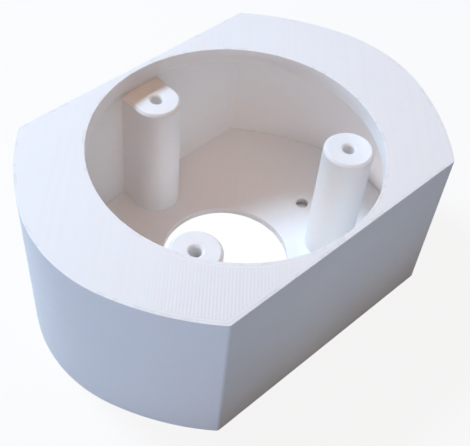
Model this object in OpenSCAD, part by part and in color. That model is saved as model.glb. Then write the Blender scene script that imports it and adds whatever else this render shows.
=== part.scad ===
// Wall mount for a small camera, printed in one piece. A thin-walled housing
// with two flat sides and two round ends stands on a thin floor, which goes
// against the wall. The camera's foot drops into the round opening in the front
// plate, rests on three bosses just below it and is screwed to them. Its cable
// leaves through the hole in the floor.
// X runs along the housing, Z points out of the wall, and z = 0 is the base.

/* [Opening] */
// Diameter of the round opening that takes the camera's foot
opening_d = 40; // [34:0.5:56]
// Depth from the front face down to the boss tops, where the foot rests
seat_depth = 3.4; // [2.8:0.1:10]

/* [Housing] */
// Height from the wall to the front face
height = 25; // [15:0.5:60]
// Thickness of the side walls
wall = 0.6; // [0.4:0.1:2]
// Thickness of the front plate round the opening
plate_t = 2.4; // [0.8:0.2:3]
// Thickness of the floor
floor_t = 1.2; // [0.8:0.2:4]
// Width of the front face left between the opening and a flat side
rim = 0.8; // [0.4:0.1:6]
// How far the round ends reach beyond the edge of the opening
end_reach = 10.4; // [6:0.2:24]
// Radius of the nose, the middle arc of a round end
nose_r = 21.5; // [16:0.5:26]
// Radius of the flanks, the arcs that run from the nose to the flat sides
flank_r = 38.5; // [32:0.5:70]
// Half of the angle that the nose spans
nose_half_angle = 22.5; // [12:0.5:36]

/* [Bosses] */
// Number of bosses, the first of them against a flat side
boss_count = 3; // [2:1:6]
// Diameter of a boss
boss_d = 7.1; // [5:0.1:9]
// How far the bosses stay inside the edge of the opening
boss_inset = 0; // [0:0.1:3]
// Chamfer round the top of a boss
boss_chamfer = 0.4; // [0.1:0.1:1]
// Diameter of the pilot bore for a screw
pilot_d = 1.6; // [1:0.1:3]
// Depth of the pilot bore below the boss top
pilot_depth = 12; // [4:0.5:16]
// Depth of the 45 degree countersink at the mouth of the pilot bore
pilot_sink = 0.3; // [0.1:0.1:0.9]

/* [Floor] */
// Diameter of the cable hole
cable_d = 19.5; // [6:0.5:22]
// Diameter of the two screw holes beside the cable hole
screw_d = 2; // [1.5:0.1:4]
// Distance between the two screw holes
screw_pitch = 34.2; // [28:0.2:40]

/* [Hidden] */
$fn = 180;
// Cuts run this far past the faces that they open
past = 1;
opening_r = opening_d / 2;
half_width = opening_r + rim;
half_length = opening_r + end_reach;
boss_top = height - seat_depth;
boss_r = boss_d / 2;
boss_circle_r = opening_r - boss_inset - boss_r;
// The flank arcs are centred back along the line that joins them to the nose,
// so that nose and flank share one tangent. The nose is a trace larger than
// that, so that the arcs cross and don't just touch.
nose_lap = 0.003;
nose_x = half_length - nose_r;
flank_x = nose_x - (flank_r - nose_r) * cos(nose_half_angle);
flank_y = (flank_r - nose_r) * sin(nose_half_angle);

// One round end, inset from the outside of the housing: the flank arcs up to
// their joints with the nose, and the nose between them
module round_end(inset) {
    joint_x = nose_x + (nose_r - inset) * cos(nose_half_angle);
    intersection() {
        translate([flank_x, -flank_y]) circle(r = flank_r - inset);
        translate([flank_x, flank_y]) circle(r = flank_r - inset);
        translate([joint_x - 2 * flank_r, -flank_r]) square(2 * flank_r);
    }
    translate([nose_x, 0]) circle(r = nose_r + nose_lap - inset);
}

// Outline of the housing: both round ends between the two flat sides
module outline(inset = 0) {
    half_flat = half_width - inset;
    for (end = [0, 1])
        mirror([end, 0])
            intersection() {
                round_end(inset);
                translate([0, -half_flat]) square([2 * half_length, 2 * half_flat]);
            }
}

// Places its children at each boss, with their own +Y pointing outwards
module at_bosses() {
    for (i = [0 : boss_count - 1])
        rotate(i * 360 / boss_count)
            translate([0, boss_circle_r]) {
                // A boss that lies square to a flat side is also given a web to it
                $against_flat = abs(cos(i * 360 / boss_count)) > 0.999;
                children();
            }
}

// Half section of a boss, from its axis outwards
module boss_section() {
    polygon([[0, 0], [boss_r, 0], [boss_r, boss_top - boss_chamfer],
             [boss_r - boss_chamfer, boss_top], [0, boss_top]]);
}

// Round boss standing on the floor, with the same section drawn out into a web
// where the boss stands against a flat side
module boss() {
    rotate_extrude() boss_section();
    if ($against_flat)
        rotate([90, 0, 180])
            linear_extrude(half_width - wall / 2 - boss_circle_r) {
                boss_section();
                mirror([1, 0]) boss_section();
            }
}

// Pilot bore with its countersink, drilled from the boss top
module pilot() {
    pilot_r = pilot_d / 2;
    translate([0, 0, boss_top - pilot_depth]) cylinder(r = pilot_r, h = pilot_depth + past);
    translate([0, 0, boss_top - pilot_sink])
        cylinder(r1 = pilot_r, r2 = pilot_r + pilot_sink + past, h = pilot_sink + past);
}

// Closed outer form with the cavity and the openings taken out of it
module shell() {
    difference() {
        linear_extrude(height) outline();
        translate([0, 0, floor_t]) linear_extrude(height - floor_t - plate_t) outline(wall);
        translate([0, 0, height - plate_t - past]) cylinder(r = opening_r, h = plate_t + 2 * past);
        translate([0, 0, -past]) cylinder(d = cable_d, h = floor_t + 2 * past);
        for (side = [-1, 1])
            translate([side * screw_pitch / 2, 0, -past]) cylinder(d = screw_d, h = floor_t + 2 * past);
    }
}

module mount_housing() {
    color("whitesmoke")
        difference() {
            union() {
                shell();
                at_bosses() boss();
            }
            at_bosses() pilot();
        }
}

mount_housing();
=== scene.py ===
# %% [markdown]
# A small printed wall mount for a camera, dressed for the studio. The CAD model fixes every size; this
# lesson gives it the softened edges, the print lines and the white plastic of the real part, then sets up
# the light, the floor and the camera. All lengths are in metres, as Blender counts them.

import math

import bmesh
import bpy
from mathutils import Matrix, Vector


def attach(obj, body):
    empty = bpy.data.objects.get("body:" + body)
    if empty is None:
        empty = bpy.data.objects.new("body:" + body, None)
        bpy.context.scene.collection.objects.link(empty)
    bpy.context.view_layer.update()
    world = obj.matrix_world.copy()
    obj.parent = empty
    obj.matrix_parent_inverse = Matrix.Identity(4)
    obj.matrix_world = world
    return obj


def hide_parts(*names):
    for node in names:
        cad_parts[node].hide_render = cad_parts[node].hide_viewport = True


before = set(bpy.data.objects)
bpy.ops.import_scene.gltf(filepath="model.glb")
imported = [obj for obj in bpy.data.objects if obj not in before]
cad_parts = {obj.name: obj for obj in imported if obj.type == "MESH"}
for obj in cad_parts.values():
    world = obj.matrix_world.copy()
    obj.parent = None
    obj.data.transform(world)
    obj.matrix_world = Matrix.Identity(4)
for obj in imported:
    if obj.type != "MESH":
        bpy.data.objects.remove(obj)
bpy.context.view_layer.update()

# %% [markdown]
# The camera comes first, because everything else is judged through it. The photograph looks down on the
# mount from beyond its near corner. The place, the turn and the lens come from matching the outline and the
# opening to the picture. The lens is shifted a little, as in a picture that was cropped off its centre.

# %% Camera
scene = bpy.context.scene
PICTURE_WIDTH = 470
FOCAL_PIXELS, SHIFT_PIXELS = 868.322, (35, 12)
CAMERA_PLACE = (-0.061228, -0.056917, 0.105750)
AZIMUTH, ELEVATION, ROLL = -44.332, 50.138, 3.555

lens = bpy.data.cameras.new("photo_camera")
lens.sensor_width = 36
lens.lens = FOCAL_PIXELS / PICTURE_WIDTH * lens.sensor_width
lens.shift_x, lens.shift_y = (pixels / PICTURE_WIDTH for pixels in SHIFT_PIXELS)
lens.clip_start, lens.clip_end = 0.01, 10
camera = bpy.data.objects.new("photo_camera", lens)
turn = (Matrix.Rotation(math.radians(AZIMUTH), 4, "Z")
        @ Matrix.Rotation(math.radians(90 - ELEVATION), 4, "X")
        @ Matrix.Rotation(math.radians(ROLL), 4, "Z"))
camera.matrix_world = Matrix.Translation(CAMERA_PLACE) @ turn
scene.collection.objects.link(camera)
scene.camera = camera
scene.view_settings.view_transform = "Standard"
print("Camera at", [round(1000 * v, 1) for v in camera.location], "mm, lens", round(lens.lens, 1), "mm")

# %% [markdown]
# Shader nodes are easier to read as sums than as boxes and wires. The class below wraps a node's socket, so
# that adding or multiplying two of them adds the Math node that does it. One method makes every other node:
# it takes the type, the settings and what goes into the sockets.

# %% A small language for shaders
class Socket:
    def __init__(self, tree, out):
        self.tree, self.out = tree, out

    def math(self, operation, *values):
        return self.tree.node("ShaderNodeMath", dict(operation=operation), *values)["Value"]

    def __add__(self, other): return self.math("ADD", self, other)
    def __sub__(self, other): return self.math("SUBTRACT", self, other)
    def __rsub__(self, other): return self.math("SUBTRACT", other, self)
    def __mul__(self, other): return self.math("MULTIPLY", self, other)
    def __truediv__(self, other): return self.math("DIVIDE", self, other)
    def __gt__(self, other): return self.math("GREATER_THAN", self, other)
    def __lt__(self, other): return self.math("LESS_THAN", self, other)
    def __abs__(self): return self.math("ABSOLUTE", self)
    __radd__ = __add__
    def sin(self): return self.math("SINE", self)
    def root(self): return self.math("SQRT", self)
    def floor(self): return self.math("FLOOR", self)
    def least(self, other): return self.math("MINIMUM", self, other)
    def most(self, other): return self.math("MAXIMUM", self, other)


class Node:
    def __init__(self, tree, made):
        self.tree, self.made = tree, made

    def __getitem__(self, name):
        return Socket(self.tree, next(s for s in self.made.outputs if s.enabled and s.name == name))


class Tree:
    def __init__(self, owner):
        owner.use_nodes = True
        self.links, self.nodes = owner.node_tree.links, owner.node_tree.nodes
        self.nodes.clear()

    def node(self, kind, settings=None, *values, **named):
        made = self.nodes.new(kind)
        for name, value in (settings or {}).items():
            setattr(made, name, value)
        free = [s for s in made.inputs if s.enabled]
        by_name = {s.name.replace(" ", "_"): s for s in reversed(free)}
        for socket, value in [*zip(free, values), *((by_name[key], value) for key, value in named.items())]:
            if isinstance(value, Socket):
                self.links.new(value.out, socket)
            else:
                socket.default_value = value
        return Node(self, made)

    def mix_colours(self, share, first, second):
        return self.node("ShaderNodeMix", dict(data_type="RGBA"), share, A=first, B=second)["Result"]


def new_material(name):
    material = bpy.data.materials.new(name)
    print("Material", name)
    return material, Tree(material)


def object_axes(tree):
    place = tree.node("ShaderNodeTexCoord")["Object"]
    parts = tree.node("ShaderNodeSeparateXYZ", None, place)
    return place, parts["X"], parts["Y"], parts["Z"]


def length(a, b):
    return (a * a + b * b).root()

# %% [markdown]
# The mount stands on a plain pale sweep that is white in the picture. White comes from Light Path: rays
# from the camera, and those that mirror or pass through something, meet mostly a white glow, while all
# other rays meet a grey paper. A little white paper stays in the mix, so that the mount keeps a soft
# shadow. Near the mount the grey paper darkens. This is painted shade, a dark sheet that darkens the foot
# of the flat side. Right under the mount there is no glow, so that the small screw holes look dark. Under
# the cable hole it is full and the paper is pale, because the edge of that hole catches light from below.

# %% Paper under the mount
GLOW_SHARE = 0.88
HOLE_REACH, MOUNT_REACH = 0.0105, 0.0200
# Painted shade: between these two distances from the middle, the grey paper darkens to the second colour
# below.
PAINTED_SHADE_FROM, PAINTED_SHADE_TO = 0.0198, 0.0528
GREY_PAPER, PAINTED_SHADE_PAPER = (0.22, 0.24, 0.26, 1), (0.09, 0.08, 0.07, 1)
PALE_PAPER, WHITE_PAPER = (0.9, 0.9, 0.9, 1), (0.85, 0.85, 0.85, 1)
WHITE = (1, 1, 1, 1)

def seen_directly(tree):
    path = tree.node("ShaderNodeLightPath")
    return path["Is Camera Ray"].most(path["Is Glossy Ray"]).most(path["Is Transmission Ray"])

floor_material, tree = new_material("pale_floor")
_, x, y, _ = object_axes(tree)
from_middle = length(x, y)
under_hole = from_middle < HOLE_REACH
under_mount = (from_middle < MOUNT_REACH) * (1 - under_hole)
glow_share = under_hole * (1 - GLOW_SHARE) + (1 - under_mount) * GLOW_SHARE
white_paper = tree.node("ShaderNodeBsdfDiffuse", None, Color=WHITE_PAPER)
glow = tree.node("ShaderNodeEmission", None, Color=WHITE, Strength=1.0)
shown = tree.node("ShaderNodeMixShader", None, glow_share, white_paper["BSDF"], glow["Emission"])
# Painted shade: a darker paper near the mount stands in for the shade at the foot of the flat side.
painted_foot_shade = ((PAINTED_SHADE_TO - from_middle) / (PAINTED_SHADE_TO - PAINTED_SHADE_FROM)).most(0.0).least(1.0)
paper_colour = tree.mix_colours(under_hole, tree.mix_colours(painted_foot_shade, GREY_PAPER, PAINTED_SHADE_PAPER), PALE_PAPER)
paper = tree.node("ShaderNodeBsdfDiffuse", None, Color=paper_colour)
sweep = tree.node("ShaderNodeMixShader", None, seen_directly(tree), paper["BSDF"], shown["Shader"])
tree.node("ShaderNodeOutputMaterial", None, Surface=sweep["Shader"])
print("Pale floor:", len(tree.nodes), "nodes")

# %% [markdown]
# The paper lies on one large square, a hair below the base, so that the two never share a plane. The world
# behind it is white to the camera in the same way, and gives the mount only a trace of cool light.

# %% Floor and world
SHEET_HALF, SHEET_GAP = 1.5, 0.00005
ROOM_COLOUR, ROOM_STRENGTH = (0.80, 0.87, 1.0, 1), 0.02

sheet = bmesh.new()
bmesh.ops.create_grid(sheet, x_segments=1, y_segments=1, size=SHEET_HALF)
bmesh.ops.translate(sheet, verts=sheet.verts, vec=(0, 0, -SHEET_GAP))
floor_mesh = bpy.data.meshes.new("studio_floor")
sheet.to_mesh(floor_mesh)
sheet.free()
floor_mesh.materials.append(floor_material)
floor = bpy.data.objects.new("studio_floor", floor_mesh)
scene.collection.objects.link(floor)

world = bpy.data.worlds.new("studio_world")
scene.world = world
tree = Tree(world)
room = tree.node("ShaderNodeBackground", None, Color=ROOM_COLOUR, Strength=ROOM_STRENGTH)
white = tree.node("ShaderNodeBackground", None, Color=WHITE, Strength=1.0)
both = tree.node("ShaderNodeMixShader", None, seen_directly(tree), room["Background"], white["Background"])
tree.node("ShaderNodeOutputWorld", None, Surface=both["Shader"])
print("Floor", 2 * SHEET_HALF, "m wide, room light", ROOM_STRENGTH)

# %% [markdown]
# Soft lamps do the rest. The key lamp stands behind the mount and high up: it falls through the opening
# onto the right half of the floor inside and leaves the far walls in shade. A wide cool one on the left,
# like a window, and a low one beside it light the round end. Weak warm ones near the camera, overhead and
# on the right fill the shade. A cool card of light lies on the floor in front, as daylight on a table does,
# and fades towards the foot of the flat side. Two tiny ones lie on the floor inside, in the middle and in
# the right end. They stand in for the light that the sunlit patch there throws on the inner walls.

# %% Lamps
CENTRE = (0, 0, 0.0125)
# Each row: name, place, what it aims at, width, watts, colour
LAMPS = [
    ("key", (-0.054, 0.270, 0.368), CENTRE, 0.13, 1.88, (0.60, 0.79, 1.0)),
    ("window", (-0.413, 0.103, 0.157), CENTRE, 0.30, 0.17, (0.60, 0.76, 0.98)),
    ("low_window", (-0.445, -0.067, 0.021), CENTRE, 0.04, 0.69, (0.50, 0.67, 1.0)),
    ("right_fill", (0.420, 0.060, 0.170), CENTRE, 0.30, 0.37, (1.0, 0.79, 0.69)),
    ("near_fill", (-0.226, -0.226, 0.329), CENTRE, 0.30, 0.25, (1.0, 0.66, 0.45)),
    ("top_card", (0, 0, 0.1125), CENTRE, 0.08, 0.018, (1.0, 0.62, 0.45)),
    ("floor_card", (0, -0.089, 0.0005), (0, -0.089, 1), 0.10, 0.018, (0.42, 0.66, 1.0)),
    ("inner_card", (-0.004, -0.006, 0.0016), (-0.004, -0.006, 1), 0.018, 0.0009, (0.98, 0.90, 0.90)),
    ("end_card", (0.022, -0.004, 0.0016), (0.022, -0.004, 1), 0.008, 0.00042, (0.97, 0.89, 0.94)),
]

for name, place, aim, size, power, colour in LAMPS:
    lamp = bpy.data.lights.new(name, "AREA")
    lamp.shape, lamp.size, lamp.energy, lamp.color = "DISK", size, power, colour
    stand = bpy.data.objects.new(name, lamp)
    away = Vector(place) - Vector(aim)
    stand.matrix_world = Matrix.Translation(place) @ away.to_track_quat("Z", "Y").to_matrix().to_4x4()
    stand.visible_camera = False
    scene.collection.objects.link(stand)
    print("Lamp", name, power, "W at", round(away.length, 2), "m")

# %% [markdown]
# The housing is one printed piece. Its shape is right in the CAD model, but its edges there are perfectly
# sharp, and no nozzle prints a sharp edge. So a copy of the CAD mesh is merged, and its flat triangles are
# joined back into whole faces, ready for a bevel.

# %% A copy of the housing with whole faces
MERGE_WITHIN, FLAT_WITHIN = 1e-6, math.radians(0.3)

housing = bmesh.new()
housing.from_mesh(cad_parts["mount_housing"].data)
bmesh.ops.remove_doubles(housing, verts=housing.verts, dist=MERGE_WITHIN)
bmesh.ops.dissolve_limit(housing, angle_limit=FLAT_WITHIN, verts=housing.verts, edges=housing.edges)
print("Housing:", len(housing.verts), "vertices,", len(housing.faces), "faces")

# %% [markdown]
# The nozzle swings round the upright corners, so they are the roundest edges and come first. The other
# outward edges are softened by less than one layer. An edge counts as outward where its two faces lean
# away from each other, which leaves the creases inside the housing sharp.

# %% Softened edges
OUTWARD, STAYS_SHARP = math.radians(30), math.radians(35)
UPRIGHT_RISE = 0.02
UPRIGHT_SOFT, OTHER_SOFT = 0.00028, 0.00012

def outward(mesh):
    joints = (e for e in mesh.edges if len(e.link_faces) == 2)
    return [e for e in joints if e.calc_face_angle_signed() > OUTWARD]

def soften(mesh, edges, width, steps):
    bmesh.ops.bevel(mesh, geom=edges, affect="EDGES", offset=width, offset_type="OFFSET", segments=steps,
                    profile=0.5, material=-1, clamp_overlap=True)
    print("Softened", len(edges), "edges by", round(1000 * width, 2), "mm")

upright = [e for e in outward(housing) if abs(e.verts[0].co.z - e.verts[1].co.z) > UPRIGHT_RISE]
soften(housing, upright, UPRIGHT_SOFT, 3)
soften(housing, outward(housing), OTHER_SOFT, 2)

# %% [markdown]
# Faces are shaded smooth and only true edges stay sharp. The Weighted Normal modifier then keeps the large
# flat faces flat beside their narrow bevels. The finished mesh takes the place of the CAD piece.

# %% The finished housing
for face in housing.faces:
    face.smooth = True
for edge in housing.edges:
    edge.smooth = len(edge.link_faces) == 2 and edge.calc_face_angle() < STAYS_SHARP

housing_mesh = bpy.data.meshes.new("printed_housing")
housing.to_mesh(housing_mesh)
housing.free()
printed_housing = bpy.data.objects.new("printed_housing", housing_mesh)
scene.collection.objects.link(printed_housing)
keep_flat = printed_housing.modifiers.new("keep_flat", "WEIGHTED_NORMAL")
keep_flat.keep_sharp = True
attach(printed_housing, "root")
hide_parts("mount_housing")
print("Housing after its bevels:", len(housing_mesh.polygons), "faces")

# %% [markdown]
# Now the print itself. A printed face is a row of beads, each as wide as the nozzle's line. The border of a
# face is drawn first, with lines that follow its outline and its holes, and the middle is filled with
# slanting lines. Walls show the edges of their layers instead. Each of these is a distance: to the outline,
# to a hole, along the slant or up from the base. A sine of that distance makes the beads, and a random
# number for each bead makes some of them a trace darker.

# %% Distances that the lines follow
LINE, LAYER = 0.00042, 0.0002
BORDER = 2 * LINE
SLANT = math.sqrt(0.5)
NOSE_X, NOSE_R, NOSE_HALF_ANGLE = 0.0089, 0.0215, math.radians(22.5)
FLANK_X, FLANK_Y, FLANK_R = 0.006806, 0.006506, 0.0385
HALF_WIDTH = 0.0208

material, tree = new_material("white_filament")
place, x, y, z = object_axes(tree)
wide, deep = abs(x), abs(y)

def beads(across, width):
    return abs((across * (math.pi / width)).sin())

def tone_of_bead(across, width):
    number = (across * (1 / width)).floor()
    return tree.node("ShaderNodeTexWhiteNoise", dict(noise_dimensions="1D"), number)["Value"]

def choose(mask, yes, no):
    return no + (yes - no) * mask

to_nose = NOSE_R - length(wide - NOSE_X, y)
to_flank = FLANK_R - length(wide + FLANK_X, deep + FLANK_Y)
in_nose = (wide - NOSE_X) * math.tan(NOSE_HALF_ANGLE) > deep
to_outline = choose(in_nose, to_nose, to_flank).least(HALF_WIDTH - deep)
middle = length(x, y)
slanting = (x - y) * SLANT
print("Lines", 1000 * LINE, "mm wide, layers", 1000 * LAYER, "mm high")

# %% [markdown]
# Each level surface is found by its height, because the front face, the boss tops and the floor are all
# flat. The lines on a boss run round it, and on the boss by the flat side they run on to the wall.

# %% Which lines lie where
FRONT_FROM = 0.02485
FLOOR_FROM, FLOOR_TO = 0.0011, 0.00125
BOSS_FROM, BOSS_TO, BOSS_REACH = 0.02145, 0.0217, 0.0037
SIDE_BOSS_X, SIDE_BOSS_Y, WEB_BOSS_Y = 0.014246, 0.008225, 0.01645
OPENING_R, CABLE_R, WALL = 0.020, 0.00975, 0.0006
LAYER_START = 0.00005

on_front = z > FRONT_FROM
on_floor = (z < FLOOR_TO) * (z > FLOOR_FROM)
side_boss = length(wide - SIDE_BOSS_X, y + SIDE_BOSS_Y)
boss_round = side_boss.least(length(x, (y - WEB_BOSS_Y).least(0.0)))
on_boss = (z > BOSS_FROM) * (z < BOSS_TO) * (boss_round < BOSS_REACH)
on_level = on_front + on_floor + on_boss

front_border = to_outline.least(middle - OPENING_R)
front_across = choose(front_border < BORDER, front_border, slanting)
floor_border = (to_outline - WALL).least(middle - CABLE_R)
floor_across = choose(floor_border < BORDER, floor_border, slanting)
level_across = choose(on_boss, boss_round, choose(on_front, front_across, floor_across))
layer_across = z + LAYER_START
print("Print lines placed with", len(tree.nodes), "nodes")

# %% [markdown]
# The lines are not equally plain everywhere. They stand out most beside one corner of the front face, where
# the last layer was drawn thinnest, faintly in a few other patches, and hardly anywhere on the bosses. A
# few nicks sit along the edges of the front face.

# %% Where the print shows most
CORNER_X, CORNER_Y, CORNER_REACH, CORNER_GAIN = 0.0203, 0.0208, 0.013, 1.5
FAINT_FLOOR, FAINT_GAIN, FAINT_SHARE, FAINT_LEAST = 0.45, 4, 0.16, 0.07
BOSS_FADE = 0.7
NICK_REACH, NICK_FROM = 0.0004, 0.6

def noise(scale, detail, stretch=(1, 1, 1)):
    spot = tree.node("ShaderNodeMapping", None, place, Scale=stretch)["Vector"]
    return tree.node("ShaderNodeTexNoise", None, Vector=spot, Scale=scale, Detail=detail)["Fac"]

streaks = noise(40, 2, (1, 1, 30))
cloud = noise(120, 3)
grain = noise(2500, 2)
near_corner = (1 - length(x + CORNER_X, y + CORNER_Y) / CORNER_REACH).most(0.0)
faint_patches = ((noise(70, 1) - FAINT_FLOOR) * FAINT_GAIN).most(0.0).least(1.0)
faint = faint_patches * FAINT_SHARE + FAINT_LEAST
patch = (faint + near_corner * CORNER_GAIN) * (1 - on_boss * BOSS_FADE)
nicks = on_front * (front_border < NICK_REACH) * (noise(700, 1) > NICK_FROM)
print("Lines strongest within", 1000 * CORNER_REACH, "mm of one corner")

# %% [markdown]
# The lines are very shallow. They go into a Bump node together with a little unevenness. The Bump node's
# distance is one millimetre, so each depth below is in millimetres.

# %% Relief
LINE_DEPTH, LAYER_DEPTH, STREAK_DEPTH = 0.010, 0.006, 0.02
CLOUD_DEPTH, GRAIN_DEPTH, NICK_DEPTH = 0.05, 0.004, 0.03

level_bead = beads(level_across, LINE)
layer_bead = beads(layer_across, LAYER)
wall_relief = layer_bead * LAYER_DEPTH + streaks * STREAK_DEPTH
print_lines = choose(on_level, level_bead * patch * LINE_DEPTH, wall_relief)
height = print_lines + cloud * CLOUD_DEPTH + grain * GRAIN_DEPTH - nicks * NICK_DEPTH
bump = tree.node("ShaderNodeBump", None, Strength=1.0, Distance=0.001, Height=height)["Normal"]
print("Relief of at most", CLOUD_DEPTH, "mm from any one part")

# %% [markdown]
# The same lines turn the colour and the roughness by a few hundredths, as on the real plastic. The plastic
# is white and lets a little light in, which the Subsurface values give: light that falls on the thin walls
# from behind warms them inside.

# %% White filament
LAYER_SHADE, TONE_SHADE, CLOUD_SHADE, STREAK_SHADE, NICK_SHADE = 0.1, 0.15, 0.3, 0.2, 1.2
LIGHT_PLASTIC, SHADED_PLASTIC = (0.975, 0.97, 0.965, 1), (0.89, 0.88, 0.87, 1)
ROUGHNESS, CLOUD_ROUGHNESS, TONE_ROUGHNESS = 0.42, 0.12, 0.06

bead_tone = choose(on_level, tone_of_bead(level_across, LINE), tone_of_bead(layer_across, LAYER))
level_groove = (1 - level_bead) * on_level * patch
layer_groove = (1 - layer_bead) * (1 - on_level) * LAYER_SHADE
wear = bead_tone * TONE_SHADE + cloud * CLOUD_SHADE + streaks * STREAK_SHADE + nicks * NICK_SHADE
colour = tree.mix_colours(level_groove + layer_groove + wear, LIGHT_PLASTIC, SHADED_PLASTIC)
roughness = ROUGHNESS + cloud * CLOUD_ROUGHNESS + bead_tone * TONE_ROUGHNESS
plastic = tree.node("ShaderNodeBsdfPrincipled", None, Base_Color=colour, Roughness=roughness, Normal=bump,
                    Subsurface_Weight=0.25, Subsurface_Radius=(1.0, 0.7, 0.55), Subsurface_Scale=0.0008)
tree.node("ShaderNodeOutputMaterial", None, Surface=plastic["BSDF"])
housing_mesh.materials.append(material)
print("White filament:", len(tree.nodes), "nodes")
